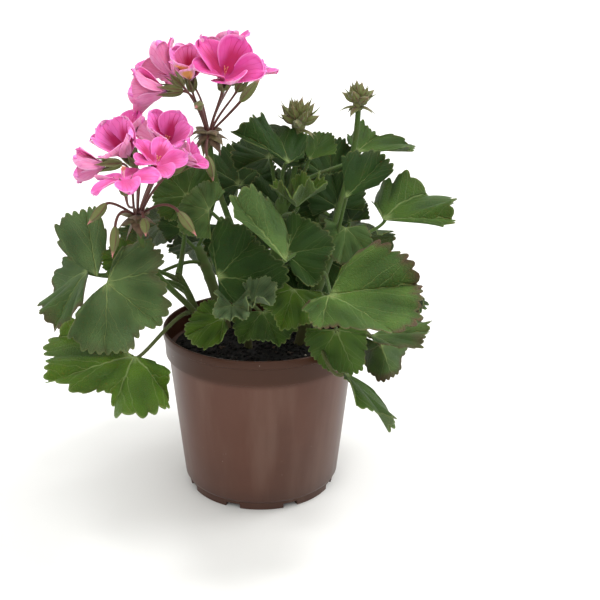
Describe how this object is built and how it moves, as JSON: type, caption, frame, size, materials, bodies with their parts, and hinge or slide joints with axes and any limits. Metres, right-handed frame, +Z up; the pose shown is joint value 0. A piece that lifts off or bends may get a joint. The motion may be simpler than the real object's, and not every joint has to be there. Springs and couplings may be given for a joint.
{
  "type": "potted geranium",
  "caption": "Zonal geranium with lobed leaves on branching stems, umbels of pink flowers, hanging buds and unopened flower heads, rooted in soil in a tapered round nursery pot.",
  "frame": {"origin": "centre of the pot's flat underside, on the surface that the pot stands on", "axes": "+Z up along the pot's axis; -Y is the side that the picture shows"},
  "size_m": [0.2824, 0.2683, 0.3038],
  "materials": {
    "pot_plastic": "semi-gloss red-brown polypropylene, slightly dusty",
    "soil": "moist dark peat and bark mix, matt and crumbly",
    "foliage": "mid to dark green living leaf with lighter veins and a faint greyish sheen",
    "flower_stalks": "red-brown, matt, with dry brown bracts",
    "petals": "soft pink with a deeper magenta blotch at the base, satin"
  },
  "bodies": {
    "root": {"pot": "pot_plastic", "potting_soil": "soil", "leafy_stem_left": "foliage", "leafy_stem_front": "foliage", "leafy_stem_right": "foliage", "leafy_stem_top": "foliage", "leafy_stem_back_left": "foliage", "leafy_stem_back_right": "foliage", "spray_lower": "flower_stalks", "spray_upper": "flower_stalks", "petals_upper_1": "petals", "petals_upper_2": "petals", "petals_upper_3": "petals", "petals_upper_4": "petals", "petals_upper_5": "petals", "petals_upper_6": "petals", "petals_upper_7": "petals", "petals_upper_8": "petals", "petals_lower_9": "petals", "petals_lower_10": "petals", "petals_lower_11": "petals", "petals_lower_12": "petals", "petals_lower_13": "petals", "petals_lower_14": "petals", "petals_lower_15": "petals", "petals_lower_16": "petals"}
  },
  "joints": []
}
